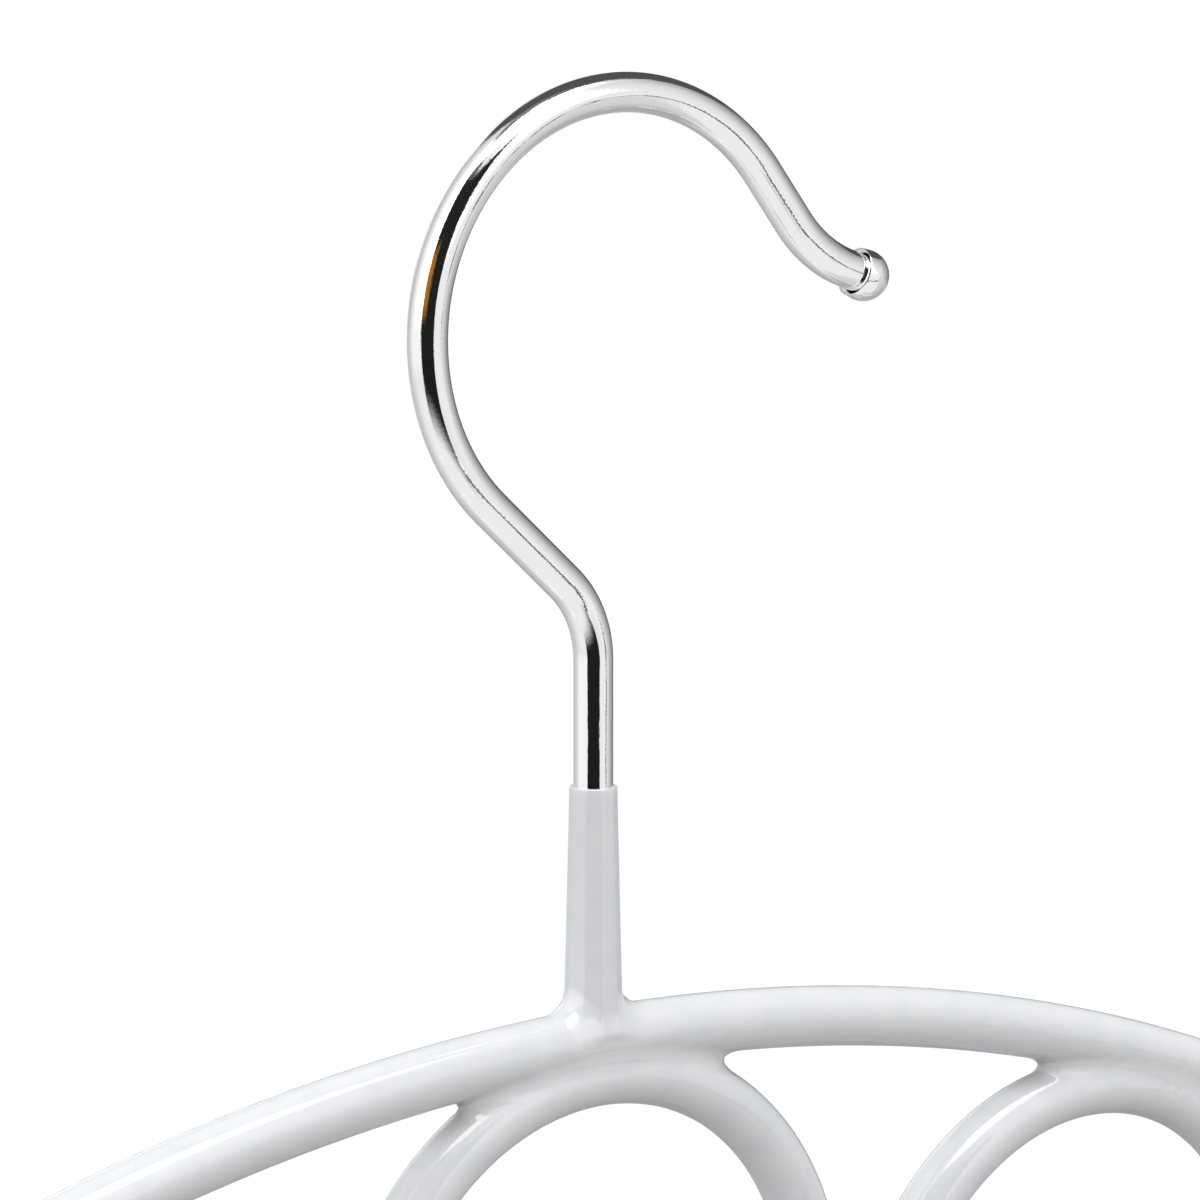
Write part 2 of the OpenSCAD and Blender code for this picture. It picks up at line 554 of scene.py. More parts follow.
@dataclass
class SkinNet:
    """Turns a shape that is given as a distance into a mesh of even quads on its surface.

    A grid cell that the surface crosses gets one vertex, and a grid edge that it crosses gets
    one quad. The vertices are then evened out and drawn onto the surface.
    """

    distance: Distance
    low: tuple[float, float, float]
    high: tuple[float, float, float]
    cell: float
    relax_steps: int = 2
    settle_steps: int = 3
    probe: float = 0.01
    least_steep: float = 0.25

    def slope(self, p: np.ndarray) -> tuple[np.ndarray, np.ndarray]:
        """Distance and its gradient at points.

        Args:
            p: Points, one to a row.

        Returns:
            The distances, and the gradients as rows.
        """
        here = self.distance(p.T)
        grad = np.empty_like(p)
        for axis in range(3):
            ahead = p.copy()
            behind = p.copy()
            ahead[:, axis] += self.probe
            behind[:, axis] -= self.probe
            grad[:, axis] = self.distance(ahead.T) - self.distance(behind.T)
        return here, grad / (2 * self.probe)

    def settle(self, p: np.ndarray) -> np.ndarray:
        """Moves points onto the surface along the gradient.

        Args:
            p: Points, one to a row.

        Returns:
            The moved points.
        """
        for _ in range(self.settle_steps):
            here, grad = self.slope(p)
            steep = np.maximum((grad**2).sum(axis=1), self.least_steep)
            p = p - (here / steep)[:, None] * grad
        return p

    def crossed_cells(self, inside: np.ndarray) -> np.ndarray:
        """Finds the grid's cells that have corners on both sides of the surface.

        Args:
            inside: For each grid point, whether it is inside the shape.

        Returns:
            The cells' places in the grid, one to a row.
        """
        nx, ny, nz = (n - 1 for n in inside.shape)
        count = np.zeros((nx, ny, nz), dtype=int)
        for i, j, k in itertools.product((0, 1), repeat=3):
            count += inside[i : i + nx, j : j + ny, k : k + nz]
        return np.argwhere((count > 0) & (count < 8))

    def first_points(self, values: np.ndarray, cells: np.ndarray) -> np.ndarray:
        """Puts a point in the middle of the places where the surface cuts a cell's edges.

        Args:
            values: For each grid point, its distance to the surface.
            cells: The cells' places in the grid.

        Returns:
            The points, one to a row.
        """
        total = np.zeros((len(cells), 3))
        crossings = np.zeros(len(cells))
        for axis in range(3):
            u, v = [a for a in range(3) if a != axis]
            for i, j in itertools.product((0, 1), repeat=2):
                start = cells.copy()
                start[:, u] += i
                start[:, v] += j
                end = start.copy()
                end[:, axis] += 1
                va = values[tuple(start.T)]
                vb = values[tuple(end.T)]
                cut = (va < 0) != (vb < 0)
                share = np.where(cut, va / np.where(cut, va - vb, 1), 0)
                spot = start.astype(float)
                spot[:, axis] += share
                total += np.where(cut[:, None], spot, 0)
                crossings += cut
        return np.array(self.low) + self.cell * total / crossings[:, None]

    def quads(self, inside: np.ndarray, number: np.ndarray) -> np.ndarray:
        """Joins the points of the four cells round each grid edge that the surface crosses.

        Args:
            inside: For each grid point, whether it is inside the shape.
            number: For each cell, the number of its point.

        Returns:
            The quads, all turning the same way as seen from outside.
        """
        quads = []
        for axis in range(3):
            u, v = [a for a in range(3) if a != axis]
            grid = np.moveaxis(inside, (axis, u, v), (0, 1, 2))
            edges = np.argwhere(grid[:-1, 1:-1, 1:-1] != grid[1:, 1:-1, 1:-1])
            corners = []
            for du, dv in ((0, 0), (1, 0), (1, 1), (0, 1)):
                spot = np.empty_like(edges)
                spot[:, axis] = edges[:, 0]
                spot[:, u] = edges[:, 1] + du
                spot[:, v] = edges[:, 2] + dv
                corners.append(number[tuple(spot.T)])
            quad = np.stack(corners, axis=1)
            outward = grid[edges[:, 0], edges[:, 1] + 1, edges[:, 2] + 1]
            if axis == 1:
                outward = ~outward
            quad[~outward] = quad[~outward][:, ::-1]
            quads.append(quad)
        return np.concatenate(quads)

    def relax(self, p: np.ndarray, faces: np.ndarray) -> np.ndarray:
        """Evens out the spacing of the points, and settles them on the surface.

        Args:
            p: Points, one to a row.
            faces: The quads.

        Returns:
            The moved points.
        """
        for _ in range(self.relax_steps):
            pull = np.zeros_like(p)
            hits = np.zeros(len(p))
            for a, b in ((0, 1), (1, 2), (2, 3), (3, 0)):
                np.add.at(pull, faces[:, a], p[faces[:, b]])
                np.add.at(pull, faces[:, b], p[faces[:, a]])
                np.add.at(hits, faces[:, a], 1)
                np.add.at(hits, faces[:, b], 1)
            p = self.settle(0.5 * p + 0.5 * pull / hits[:, None])
        return self.settle(p)

    def build(self) -> tuple[np.ndarray, np.ndarray, np.ndarray]:
        """Makes the mesh.

        Returns:
            Vertices, quads and vertex normals.
        """
        axes = [np.arange(a, b + self.cell, self.cell) for a, b in zip(self.low, self.high)]
        values = self.distance(np.meshgrid(*axes, indexing="ij", sparse=True))
        inside = values < 0
        cells = self.crossed_cells(inside)
        number = np.full([n - 1 for n in inside.shape], -1)
        number[tuple(cells.T)] = np.arange(len(cells))
        faces = self.quads(inside, number)
        p = self.relax(self.first_points(values, cells), faces)
        _, normals = self.slope(p)
        normals /= np.maximum(np.linalg.norm(normals, axis=1), TINY)[:, None]
        return p, faces, normals


def mesh_object(
    name: str,
    points: np.ndarray,
    faces: np.ndarray | list,
    normals: np.ndarray | None = None,
    spread: np.ndarray | None = None,
) -> bpy.types.Object:
    """Makes a smooth-shaded mesh object from points measured from the outer arch wire.

    Args:
        name: The object's name.
        points: Vertices in millimetres, from the middle of the outer arch wire.
        faces: Vertex numbers of each face.
        normals: Vertex normals, where they are known exactly.
        spread: Each vertex's place round and along the piece in metres, for its texture.

    Returns:
        The object, in the scene.
    """
    placed = points * MM
    placed[:, 2] -= SIZES.seat_rise * MM
    mesh = bpy.data.meshes.new(name)
    mesh.from_pydata(placed.tolist(), [], [list(map(int, f)) for f in faces])
    mesh.update()
    mesh.shade_smooth()
    if normals is not None:
        mesh.normals_split_custom_set_from_vertices(normals.tolist())
    if spread is not None:
        corners = np.empty(len(mesh.loops), dtype=np.int32)
        mesh.loops.foreach_get("vertex_index", corners)
        mesh.uv_layers.new(name="spread").data.foreach_set("uv", spread[corners].ravel())
    obj = bpy.data.objects.new(name, mesh)
    bpy.context.scene.collection.objects.link(obj)
    return obj


def band(low: int, high: int, around: int) -> list[tuple[int, int, int, int]]:
    """Joins two loops of vertices with quads.

    Args:
        low: Number of the first loop's first vertex.
        high: Number of the second loop's first vertex.
        around: Number of vertices in a loop.

    Returns:
        The quads.
    """
    after = [(i + 1) % around for i in range(around)]
    return [(low + i, low + j, high + j, high + i) for i, j in enumerate(after)]


@dataclass
class NeckShape:
    """The neck's outer shape: ten flats that draw in towards the rim, with eased corners."""

    top: float = 24.9
    rim_r: float = 2.3
    foot_r: float = 2.85
    flats: int = 10
    foot_bury: float = 0.7
    corner: float = 0.22

    @property
    def low(self) -> float:
        """Height of the neck's foot, sunk a little past the top of the arch wire."""
        return SIZES.wire_r - self.foot_bury

    @property
    def half_step(self) -> float:
        """Half the angle that one flat takes up, in radians."""
        return math.pi / self.flats

    def apothem(self, z: np.ndarray | float) -> np.ndarray | float:
        """Distance from the axis to a flat at a height."""
        share = (z - self.low) / (self.top - self.low)
        return (self.foot_r + (self.rim_r - self.foot_r) * share) * math.cos(self.half_step)

    def gap(self, at: Places) -> np.ndarray:
        """Distance from points to the neck's sides and foot, negative inside.

        Args:
            at: X, Y and Z of the points.

        Returns:
            The distances in millimetres.
        """
        x, y, z = at
        turn = np.arctan2(y, x)
        flat = np.round((turn - self.half_step) / (2 * self.half_step)) * 2 * self.half_step
        away = turn - flat - self.half_step
        reach = np.hypot(x, y)
        core = self.apothem(z) - self.corner
        out = reach * np.cos(away) - core
        aside = np.maximum(np.abs(reach * np.sin(away)) - core * math.tan(self.half_step), 0)
        sides = np.hypot(np.maximum(out, 0), aside) + np.minimum(out, 0) - self.corner
        below = self.low - z
        return np.minimum(np.maximum(sides, below), 0) + np.hypot(
            np.maximum(sides, 0), np.maximum(below, 0)
        )


@dataclass
class DipCoat:
    """The white skin over the welded frame, with the vinyl drawn into every corner.

    A seam fillet lies along a joint's front and back, and the crotch fillet between two bars.
    The neck's fillet is wide along the arch and narrow in front.
    """

    cell: float = 0.7
    seam_fillet: float = 1.1
    crotch_fillet: float = 2.3
    neck_fillet: float = 2.8
    neck_fillet_front: float = 1.2
    bars: list[Bar] = field(default_factory=list)
    neck: NeckShape = field(default_factory=NeckShape)
    collar_cell: float = 0.2
    collar_reach: float = 8.5
    collar_low: float = -1.4
    collar_top: float = 7.6
    collar_lift: float = 0.03
    collar_ramp: float = 1.2
    bore_gap: float = 0.05
    bore_start: float = 0.8

    def __post_init__(self) -> None:
        """Lays out the fan's bars."""
        for row in range(SIZES.row_count):
            bend_r = SIZES.row_arch_r(row)
            last = SIZES.ring_angle(row, SIZES.row_rings(row) - 1)
            tip = SIZES.arch_tail + SIZES.coat_t - SIZES.bar_r
            self.bars.append(Bar(0.0, -SIZES.arch_r, bend_r, last + tip / bend_r))
            for index in range(SIZES.row_rings(row)):
                angle = SIZES.ring_angle(row, index)
                reach = SIZES.row_ring_r(row)
                mid_z = reach * math.cos(angle) - SIZES.arch_r
                self.bars.append(Bar(reach * math.sin(angle), mid_z, SIZES.ring_r))

    def bars_gap(self, at: Places) -> np.ndarray:
        """Distance from points to the coated bars, fillets included.

        Args:
            at: X, Y and Z of the points.

        Returns:
            The distances in millimetres.
        """
        _, y, _ = at
        level = np.clip(1 - (y / SIZES.bar_r) ** 2, 0, 1)
        fillet = self.seam_fillet + (self.crotch_fillet - self.seam_fillet) * level
        total = None
        for bar in self.bars:
            gap = bar.gap(at, SIZES.bar_r)
            total = gap if total is None else rounded_union(total, gap, fillet)
        return total

    def collar_gap(self, at: Places) -> np.ndarray:
        """Distance to the part of the coat that climbs the neck's foot.

        It stands a hair over the coat in its middle and sinks a hair under it at its edges, so
        that the two run into each other with no step.

        Args:
            at: X, Y and Z of the points.

        Returns:
            The distances in millimetres.
        """
        x, y, z = at
        along = x**2 / (x**2 + y**2 + TINY)
        fillet = self.neck_fillet_front + (self.neck_fillet - self.neck_fillet_front) * along
        shape = rounded_union(self.bars_gap(at), self.neck.gap(at), fillet)
        room = np.minimum(self.collar_reach - np.abs(x), z - self.collar_low)
        room = np.minimum(room, self.collar_top - z)
        lift = self.collar_lift * np.clip(self.collar_ramp * room - 1, -1, 1)
        bore = SIZES.wire_r + self.bore_gap - np.hypot(x, y)
        bore = np.where(z > SIZES.wire_r + self.bore_start, bore, -1)
        return np.maximum(np.maximum(shape - lift, -room), bore)

    def build(self, material: bpy.types.Material) -> None:
        """Makes the skin and its collar, and dresses them.

        Args:
            material: The vinyl.
        """
        low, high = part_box("coat")
        edge = 2 * self.cell
        net = SkinNet(
            self.bars_gap,
            (low[0] / MM - edge, low[1] / MM - edge, low[2] / MM + SIZES.seat_rise - edge),
            (high[0] / MM + edge, high[1] / MM + edge, SIZES.bar_r + edge),
            self.cell,
        )
        skin = mesh_object("dip_coat", *net.build())
        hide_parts("coat")

        edge = 2 * self.collar_cell
        side = SIZES.bar_r + edge + self.neck_fillet / 2
        net = SkinNet(
            self.collar_gap,
            (-self.collar_reach - edge, -side, self.collar_low - edge),
            (self.collar_reach + edge, side, self.collar_top + edge),
            self.collar_cell,
            relax_steps=0,
            settle_steps=2,
        )
        collar = mesh_object("dip_coat_collar", *net.build())
        for piece in (skin, collar):
            finish(piece, material, Body.FRAME)


@dataclass
class Neck:
    """The white moulded neck in which the hook turns."""

    shape: NeckShape = field(default_factory=NeckShape)
    start: float = 4.6
    rim_ease: float = 0.1
    bore_depth: float = 19.0
    swivel_gap: float = 0.05
    rim_steps: int = 3
    corner_steps: int = 4
    rise_steps: int = 24
    sharp_deg: float = 50.0

    def outline(self, z: float, inset: float = 0.0) -> np.ndarray:
        """The neck's outline at a height.

        Args:
            z: Height above the middle of the outer arch wire.
            inset: How far the outline is drawn in, for the eased rim.

        Returns:
            Points round the outline, as rows of X, Y and Z.
        """
        corner = self.shape.corner
        core = (self.shape.apothem(z) - corner - inset) / math.cos(self.shape.half_step)
        rows = []
        for k in range(self.shape.flats):
            toward = 2 * k * self.shape.half_step
            for i in range(self.corner_steps + 1):
                turn = toward + self.shape.half_step * (2 * i / self.corner_steps - 1)
                x = core * math.cos(toward) + corner * math.cos(turn)
                y = core * math.sin(toward) + corner * math.sin(turn)
                rows.append((x, y, z))
        return np.array(rows)

    def build(self, material: bpy.types.Material) -> None:
        """Makes the neck as one closed tube, and dresses it.

        Args:
            material: The neck's vinyl.
        """
        top = self.shape.top
        rises = np.linspace(self.start, top - self.rim_ease, self.rise_steps)
        loops = [self.outline(z) for z in rises]
        for turn in np.linspace(0, math.pi / 2, self.rim_steps + 1)[1:]:
            drop = self.rim_ease * (1 - math.sin(turn))
            loops.append(self.outline(top - drop, self.rim_ease * (1 - math.cos(turn))))
        bore_r = SIZES.wire_r + self.swivel_gap
        mouth = loops[-1]
        scale = bore_r / np.hypot(mouth[:, 0], mouth[:, 1])
        for z in (top, top - self.rim_ease, top - self.bore_depth):
            ring = mouth.copy()
            ring[:, :2] *= scale[:, None]
            ring[:, 2] = z
            loops.append(ring)
        around = len(mouth)
        faces = []
        for level in range(len(loops)):
            low = level * around
            high = (level + 1) % len(loops) * around
            faces += band(low, high, around)
        neck = mesh_object("neck_moulding", np.concatenate(loops), faces)
        neck.data.set_sharp_from_angle(angle=math.radians(self.sharp_deg))
        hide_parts("neck")
        finish(neck, material, Body.FRAME)


@dataclass
class WireHook:
    """The bent wire hook: a shank, a loop that goes over the rail, and a turned-out tip.

    The wire leans from the shank into the loop, falls straight from it for a short run and
    turns out to the tip. The angles of all three are counted from level.
    """

    lean_deg: float = 42.5
    fall_deg: float = 52.5
    tip_deg: float = 21.0
    shank_bend_r: float = 10.5
    tip_bend_r: float = 14.8
    fall_run: float = 6.2
    tip_run: float = 3.0
    foot: float = 2.75
    foot_ease: float = 0.4
    groove_low: float = 5.75
    groove_len: float = 1.3
    groove_depth: float = 0.4
    step: float = 0.35
    least_steps: int = 4
    around: int = 72
    sharp_deg: float = 40.0
    path: list[tuple[float, float]] = field(default_factory=list)

    def bend(self, mid: np.ndarray, bend_r: float, start: float, end: float) -> None:
        """Adds a bend to the centreline.

        Args:
            mid: X and Z of the bend's centre.
            bend_r: Radius of the bend.
            start: Angle at which the bend starts, in degrees.
            end: Angle at which it ends.
        """
        length = abs(math.radians(end - start)) * bend_r
        steps = max(self.least_steps, round(length / self.step))
        for turn in np.radians(np.linspace(start, end, steps + 1)):
            self.path.append((mid[0] + bend_r * math.cos(turn), mid[1] + bend_r * math.sin(turn)))

    def lay_out(self) -> None:
        """Works out the centreline from the foot of the shank to the end of the tip."""
        lean = math.radians(self.lean_deg)
        fall = math.radians(self.fall_deg)
        tip = math.radians(self.tip_deg)
        mid = np.array([SIZES.loop_shift, SIZES.loop_rise])
        lean_way = np.array([-math.cos(lean), math.sin(lean)])
        fall_way = np.array([math.cos(fall), -math.sin(fall)])
        fall_out = np.array([math.sin(fall), math.cos(fall)])
        tip_way = np.array([math.cos(tip), -math.sin(tip)])
        loop_in = mid - SIZES.loop_r * np.array([math.sin(lean), math.cos(lean)])
        corner = loop_in - lean_way * loop_in[0] / lean_way[0]
        tangent = self.shank_bend_r * math.tan((math.pi / 2 - lean) / 2)
        shank_end = corner - np.array([0, tangent])
        shank_mid = shank_end - np.array([self.shank_bend_r, 0])
        fall_end = mid + SIZES.loop_r * fall_out + fall_way * self.fall_run
        tip_mid = fall_end + self.tip_bend_r * fall_out
        self.path = [(0.0, z) for z in np.arange(self.foot, shank_end[1], self.step)]
        self.bend(shank_mid, self.shank_bend_r, 0, 90 - self.lean_deg)
        self.bend(mid, SIZES.loop_r, 270 - self.lean_deg, 90 - self.fall_deg)
        self.bend(tip_mid, self.tip_bend_r, -90 - self.fall_deg, -90 - self.tip_deg)
        end = np.array(self.path[-1]) + tip_way * self.tip_run
        self.path.append((end[0], end[1]))

    def radius(self, x: float, z: float) -> float:
        """Gives the wire's radius, with the shank's eased foot and its groove.

        Args:
            x: X of the centreline, 0 only along the shank.
            z: Z of the centreline.

        Returns:
            The radius in millimetres.
        """
        rise = z - self.foot
        if rise < self.foot_ease and x == 0.0:
            drawn = math.sqrt(max(self.foot_ease**2 - (self.foot_ease - rise) ** 2, 0))
            return SIZES.wire_r - self.foot_ease + drawn
        if self.groove_low < z < self.groove_low + self.groove_len:
            return SIZES.wire_r - self.groove_depth
        return SIZES.wire_r

    def build(self, material: bpy.types.Material) -> np.ndarray:
        """Sweeps the wire, and dresses it.

        Args:
            material: The plate.

        Returns:
            X and Z of the wire's end at the tip.
        """
        self.lay_out()
        path = np.array(self.path)
        way = np.gradient(path, axis=0)
        way /= np.linalg.norm(way, axis=1)[:, None]
        run = np.concatenate([[0], np.cumsum(np.hypot(*np.diff(path, axis=0).T))])
        turns = np.linspace(0, 2 * math.pi, self.around, endpoint=False)
        # The texture's place runs round the wire and back, so that it has no seam.
        fold = np.abs(turns - math.pi) * SIZES.wire_r
        rows = []
        spread = []
        for (x, z), (wx, wz), length in zip(path, way, run):
            radius = self.radius(x, z)
            side = radius * np.cos(turns)
            rows.append(np.stack([x + wz * side, radius * np.sin(turns), z - wx * side], axis=1))
            spread.append(np.stack([fold, np.full_like(fold, length)], axis=1) * MM)
        points = np.concatenate(rows)
        faces = []
        for level in range(len(rows) - 1):
            faces += band(level * self.around, (level + 1) * self.around, self.around)
        faces.append(tuple(range(self.around))[::-1])
        faces.append(tuple(range(len(points) - self.around, len(points))))
        hook = mesh_object("wire_hook", points, faces, spread=np.concatenate(spread))
        hook.data.set_sharp_from_angle(angle=math.radians(self.sharp_deg))
        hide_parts("hook")
        finish(hook, material, Body.HOOK)
        return path[-1]


@dataclass
class TipCap:
    """The domed cap on the hook's tip, with a thin rim that stands free of the wire.

    Under the dome its skirt draws in a little to the rim, and the mouth is dished down to the
    wire. It leans down from level as the tip does.
    """

    lean_deg: float
    cap_d: float = 5.1
    skirt: float = 1.2
    socket: float = 1.7
    draw: float = 0.12
    edge: float = 0.1
    lip: float = 0.03
    dish: float = 0.62
    fit_gap: float = 0.02
    around: int = 96
    dome_steps: int = 20
    sharp_deg: float = 35.0

    def profile(self) -> list[tuple[float, float]]:
        """Lays out the cap's section, from the socket round the rim to the dome's top.

        Returns:
            Pairs of a radius and a height above the rim.
        """
        cap_r = self.cap_d / 2
        rim_r = cap_r - self.draw
        socket_r = SIZES.wire_r + self.fit_gap
        rows = [
            (0.0, self.socket),
            (socket_r, self.socket),
            (socket_r, self.dish),
            (rim_r - self.edge, self.lip),
            (rim_r - self.edge / 2, 0.0),
            (rim_r - self.fit_gap, self.lip),
            (rim_r, self.edge),
        ]
        for turn in np.linspace(0, math.pi / 2, self.dome_steps + 1):
            rows.append((cap_r * math.cos(turn), self.skirt + cap_r * math.sin(turn)))
        return rows

    def build(self, end: np.ndarray, material: bpy.types.Material) -> None:
        """Turns the cap about the wire's end, and dresses it.

        Args:
            end: X and Z of the wire's end.
            material: The plate.
        """
        lean = math.radians(self.lean_deg)
        along = np.array([math.cos(lean), 0, -math.sin(lean)])
        across = np.array([math.sin(lean), 0, math.cos(lean)])
        aside = np.array([0, 1, 0])
        base = np.array([end[0], 0, end[1]]) - along * self.socket
        outline = self.profile()
        points = [base + along * outline[0][1]]
        spread = [(0.0, 0.0)]
        for radius, height in outline[1:-1]:
            for i in range(self.around):
                turn = 2 * math.pi * i / self.around
                spoke = across * math.cos(turn) + aside * math.sin(turn)
                points.append(base + along * height + radius * spoke)
                spread.append((abs(turn - math.pi) * self.cap_d / 2 * MM, height * MM))
        points.append(base + along * outline[-1][1])
        spread.append((0.0, outline[-1][1] * MM))
        last = len(points) - 1
        top = last - self.around
        faces = []
        for low in range(1, top, self.around):
            faces += [quad[::-1] for quad in band(low, low + self.around, self.around)]
        for i in range(self.around):
            j = (i + 1) % self.around
            faces += [(0, 1 + i, 1 + j), (top + i, last, top + j)]
        cap = mesh_object("tip_cap", np.array(points), faces, spread=np.array(spread))
        cap.data.set_sharp_from_angle(angle=math.radians(self.sharp_deg))
        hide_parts("hook_cap")
        finish(cap, material, Body.HOOK)


@dataclass(frozen=True)
class Patch:
    """One area of the studio round the hanger, in degrees.

    Left and right are as seen from the hanger when it faces the camera. They count from the
    camera, with plus towards the camera's own left. Low and high count from level or, with a
    pole, which is given by its rise and side, away from that pole. The edges are soft: a fade
    widens the lower one, and a drift the ones at the sides. With a flare the left edge leans
    outwards as it rises, and with a slope the top edge climbs towards the right one.
    """

    level: tuple[float, float, float]
    left: float
    right: float
    low: float
    high: float
    soft: float = 3.0
    fade: float = 0.0
    drift: float = 0.0
    flare: float = 0.0
    slope: float = 0.0
    pole: tuple[float, float] | None = None


@dataclass
class Studio:
    """A pale studio: soft boxes on both sides, and the dark of the room behind the camera.

    Mirrors see the walls and patches, and everything else gets a soft light that grows
    towards the top and a little towards the camera's left. A flare starts at its own rise.
    """

    azimuth_deg: float = -36.94
    elevation_deg: float = 9.62
    distance: float = 0.5376
    aim: tuple[float, float, float] = (0.0008, 0.0, -0.0460)
    lens_mm: float = 169.7
    sensor_mm: float = 36.0
    clip: tuple[float, float] = (0.01, 50.0)
    floor_gap: float = 0.05
    floor_half: float = 0.9
    soft_light: float = 0.8
    soft_rise: float = 0.8
    soft_left: float = 0.03
    walls: tuple[float, float, float] = (0.78, 0.78, 0.78)
    flare_start: float = 10.0
    patches: list[Patch] = field(
        default_factory=lambda: [
            # The floor, brightest in front and dimmer to the sides and far behind.
            Patch((0.92, 0.92, 0.92), -270, 270, -91, -20, 12.0),
            Patch((0.6, 0.6, 0.6), 100, 270, -74, -14, 20.0, drift=60.0),
            Patch((0.42, 0.42, 0.42), 146, 270, -52, -16, 14.0, drift=20.0),
            Patch((0.72, 0.72, 0.71), -270, -74, -91, -14, 8.0),
            Patch((0.44, 0.44, 0.44), -270, -112, -74, -24, 20.0, drift=40.0),
            # The back wall on the left, with a bright gap in it.
            Patch((0.56, 0.57, 0.58), 112, 270, -20, 50, 50.0),
            Patch((0.15, 0.15, 0.15), 170, 270, -16, 10, 8.0),
            Patch((1.3, 1.3, 1.3), 148, 170, 2, 32, 12.0),
            # The soft box to the camera's right, and the wall that falls off beyond it.
            Patch((0.92, 0.92, 0.92), -270, -5, -16, 84, 14.0),
            Patch((0.26, 0.265, 0.275), -270, -106, -18, 50, 16.0, drift=70.0),
            Patch((0.03, 0.03, 0.03), -270, -154, -14, 45, 14.0, drift=6.0),
            Patch((2.2, 2.2, 2.2), -70, -32, 8, 64, 14.0),
            # The soft box to its left, which fades towards the floor and the wall.
            Patch((1.0, 1.0, 1.0), 25, 100, -18, 78, 10.0, drift=34.0),
            Patch((2.4, 2.42, 2.45), 25, 80, 4, 78, 14.0),
            # The ceiling, tilted down behind the hanger, and a long soft box under it.
            Patch((0.08, 0.08, 0.077), -270, 270, -1, 35, 6.0, pole=(48, -172)),
            Patch((0.22, 0.22, 0.21), -270, 270, 73, 91, 8.0),
            Patch((6.5, 6.5, 6.5), -102, 22, 58, 84, 6.0),
            # The dark room behind the camera, open up to the ceiling on the left.
            Patch((0.14, 0.14, 0.14), -4, 26, 40, 60, 6.0),
            Patch(
                (0.012, 0.012, 0.011), -38, 34.5, -33, 48.4, 4.0, fade=20.0, flare=0.45, slope=0.268
            ),
            # Warm wood in that room.
            Patch((0.42, 0.15, 0.008), 9, 34, 3, 25, 8.0),
            # The dark gap beyond the floor's front edge, on the right, with a lit rim over it.
            Patch((1.05, 1.05, 1.05), -84, -36, 86.4, 89.2, 1.6, pole=(55, -5)),
            Patch((0.06, 0.06, 0.06), -84, -36, 88.6, 91.6, 1.6, pole=(55, -5)),
        ]
    )

    def place_camera(self) -> None:
        """Sets the camera where the photograph was taken from."""
        turn = math.radians(self.azimuth_deg)
        rise = math.radians(self.elevation_deg)
        back = Vector(
            (math.sin(turn) * math.cos(rise), -math.cos(turn) * math.cos(rise), math.sin(rise))
        )
        data = bpy.data.cameras.new("camera")
        data.lens = self.lens_mm
        data.sensor_width = self.sensor_mm
        data.clip_start, data.clip_end = self.clip
        camera = bpy.data.objects.new("camera", data)
        camera.location = Vector(self.aim) + back * self.distance
        camera.rotation_euler = back.to_track_quat("Z", "Y").to_euler()
        bpy.context.scene.collection.objects.link(camera)
        bpy.context.scene.camera = camera

    def angle_from(self, tree: Tree, way: Socket, pole: tuple[float, float]) -> Socket:
        """Finds how far directions are from a pole.

        Args:
            tree: The world's node tree.
            way: The directions, with X towards the camera.
            pole: The pole's rise and side in degrees.

        Returns:
            A socket with the angle in degrees.
        """
        up = math.radians(pole[0])
        turn = math.radians(-pole[1])
        aim = (math.cos(up) * math.cos(turn), math.cos(up) * math.sin(turn), math.sin(up))
        near = add_node(tree, "VectorMath", {"operation": "DOT_PRODUCT", 1: aim}, {0: way})
        angle = add_node(tree, "Math", {"operation": "ARCCOSINE"}, {0: near.outputs["Value"]})
        angle = add_node(
            tree, "Math", {"operation": "MULTIPLY", 1: DEGREES}, {0: angle.outputs["Value"]}
        )
        return angle.outputs["Value"]

    def cover(self, tree: Tree, side: Socket, rise: Socket, patch: Patch) -> Socket:
        """Finds where a patch of the studio lies.

        Args:
            tree: The world's node tree.
            side: Degrees to the camera's left.
            rise: Degrees above level, or away from the patch's pole.
            patch: The patch.

        Returns:
            A socket that is 1 in the patch and 0 outside it.
        """
        near = side
        if patch.flare:
            lift = add_node(tree, "Math", {"operation": "SUBTRACT", 1: self.flare_start}, {0: rise})
            lift = add_node(
                tree, "Math", {"operation": "MAXIMUM", 1: 0.0}, {0: lift.outputs["Value"]}
            )
            near = add_node(
                tree,
                "Math",
                {"operation": "MULTIPLY_ADD", 1: patch.flare},
                {0: lift.outputs["Value"], 2: side},
            ).outputs["Value"]
        top = rise
        if patch.slope:
            top = add_node(
                tree, "Math", {"operation": "MULTIPLY_ADD", 1: -patch.slope}, {0: side, 2: rise}
            ).outputs["Value"]
        share = None
        for value, at, soft, rising in (
            (near, patch.left, patch.soft + patch.drift, True),
            (side, patch.right, patch.soft + patch.drift, False),
            (rise, patch.low, patch.soft + patch.fade, True),
            (top, patch.high, patch.soft, False),
        ):
            step = soft_step(at - soft / 2, at + soft / 2, rising)
            edge = add_node(tree, "MapRange", step, {"Value": value}).outputs["Result"]
            if share is not None:
                edge = add_node(
                    tree, "Math", {"operation": "MULTIPLY"}, {0: share, 1: edge}
                ).outputs["Value"]
            share = edge
        return share

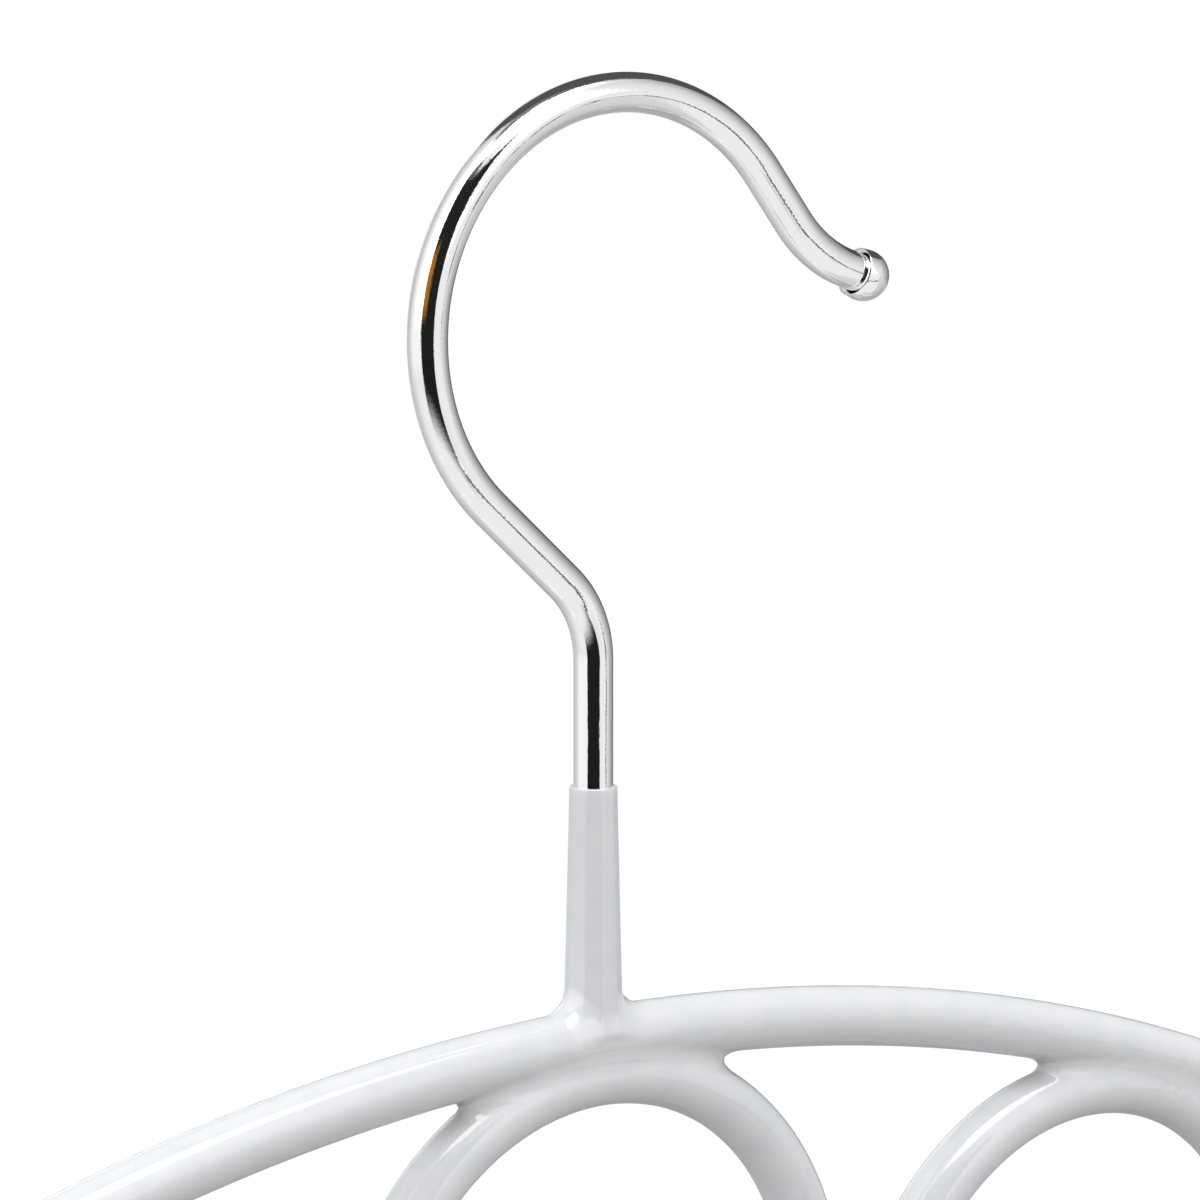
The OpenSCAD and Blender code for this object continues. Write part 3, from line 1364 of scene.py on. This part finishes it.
    def mirrored_look(self, tree: Tree, way: Socket) -> Socket:
        """Lays the patches over the walls, each over the ones before it.

        Args:
            tree: The world's node tree.
            way: The directions, with X towards the camera.

        Returns:
            A socket with the studio's colour.
        """
        axes = add_node(tree, "SeparateXYZ", None, {"Vector": way})
        turn = add_node(
            tree, "Math", {"operation": "ARCTAN2"}, {0: axes.outputs["Y"], 1: axes.outputs["X"]}
        )
        side = add_node(
            tree, "Math", {"operation": "MULTIPLY", 1: -DEGREES}, {0: turn.outputs["Value"]}
        )
        climb = add_node(tree, "Math", {"operation": "ARCSINE"}, {0: axes.outputs["Z"]})
        rise = add_node(
            tree, "Math", {"operation": "MULTIPLY", 1: DEGREES}, {0: climb.outputs["Value"]}
        )
        look = None
        for patch in self.patches:
            height = rise.outputs["Value"]
            if patch.pole is not None:
                height = self.angle_from(tree, way, patch.pole)
            share = self.cover(tree, side.outputs["Value"], height, patch)
            mix = add_node(
                tree,
                "Mix",
                {"data_type": "RGBA", 6: (*self.walls, 1.0), 7: (*patch.level, 1.0)},
                {0: share} if look is None else {0: share, 6: look},
            )
            look = mix.outputs[2]
        return look

    def soft_level(self, tree: Tree, way: Socket) -> Socket:
        """Works out the soft light's strength.

        Args:
            tree: The world's node tree.
            way: The directions, with X towards the camera.

        Returns:
            A socket with the strength.
        """
        axes = add_node(tree, "SeparateXYZ", None, {"Vector": way})
        upward = add_node(
            tree,
            "Math",
            {"operation": "MULTIPLY_ADD", 1: self.soft_rise, 2: self.soft_light},
            {0: axes.outputs["Z"]},
        )
        level = add_node(
            tree,
            "Math",
            {"operation": "MULTIPLY_ADD", 1: -self.soft_left},
            {0: axes.outputs["Y"], 2: upward.outputs["Value"]},
        )
        return level.outputs["Value"]

    def light_world(self) -> None:
        """Surrounds the hanger with white for the eye, a studio for mirrors and soft light."""
        world = bpy.data.worlds.new("studio")
        bpy.context.scene.world = world
        world.use_nodes = True
        tree = world.node_tree
        tree.nodes.clear()
        place = add_node(tree, "TexCoord")
        turned = add_node(
            tree,
            "VectorRotate",
            {"rotation_type": "Z_AXIS", "Angle": math.radians(90 - self.azimuth_deg)},
            {"Vector": place.outputs["Generated"]},
        )
        way = turned.outputs["Vector"]
        rays = add_node(tree, "LightPath")
        seen = add_node(tree, "Background", {"Color": WHITE, "Strength": 1.0})
        mirrored = add_node(
            tree, "Background", {"Strength": 1.0}, {"Color": self.mirrored_look(tree, way)}
        )
        light = add_node(
            tree, "Background", {"Color": WHITE}, {"Strength": self.soft_level(tree, way)}
        )
        either = light.outputs["Background"]
        for ray, shader in (("Is Glossy Ray", mirrored), ("Is Camera Ray", seen)):
            mix = add_node(
                tree,
                "MixShader",
                None,
                {0: rays.outputs[ray], 1: either, 2: shader.outputs["Background"]},
            )
            either = mix.outputs["Shader"]
        add_node(tree, "OutputWorld", None, {"Surface": either})

    def lay_floor(self) -> None:
        """Lays a paper floor below the hanger, which mirrors don't show."""
        low = CAD_BOX[0][2] - self.floor_gap
        half = self.floor_half
        mesh = bpy.data.meshes.new("floor")
        corners = [(-half, -half, low), (half, -half, low), (half, half, low), (-half, half, low)]
        mesh.from_pydata(corners, [], [(0, 1, 2, 3)])
        floor = bpy.data.objects.new("floor", mesh)
        bpy.context.scene.collection.objects.link(floor)
        dress(floor, BackgroundPaper().build())
        floor.visible_glossy = False

    def build(self) -> None:
        """Sets up the camera, the light and the floor."""
        bpy.context.scene.view_settings.view_transform = "Standard"
        self.place_camera()
        self.light_world()
        self.lay_floor()
        LOG.info("studio: camera at %.1f, %.1f degrees", self.azimuth_deg, self.elevation_deg)


def main() -> None:
    """Builds the hanger's pieces in order, dresses them and sets up the studio."""
    logging.basicConfig(level=logging.INFO, format="%(message)s")
    plate = BrightPlate().build()
    vinyl = DippedVinyl().build()
    steel = DrawnSteel().build()

    hook = WireHook()
    end = hook.build(plate)
    TipCap(hook.tip_deg).build(end, plate)
    Neck().build(vinyl)
    DipCoat().build(vinyl)
    wires = [n for name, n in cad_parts.items() if name.endswith("_arch") or "_ring_" in name]
    for wire in wires:
        dress(wire, steel)
    LOG.info("wires of the frame, inside the coat: %d", len(wires))
    Studio().build()


if __name__ == "__main__":
    main()
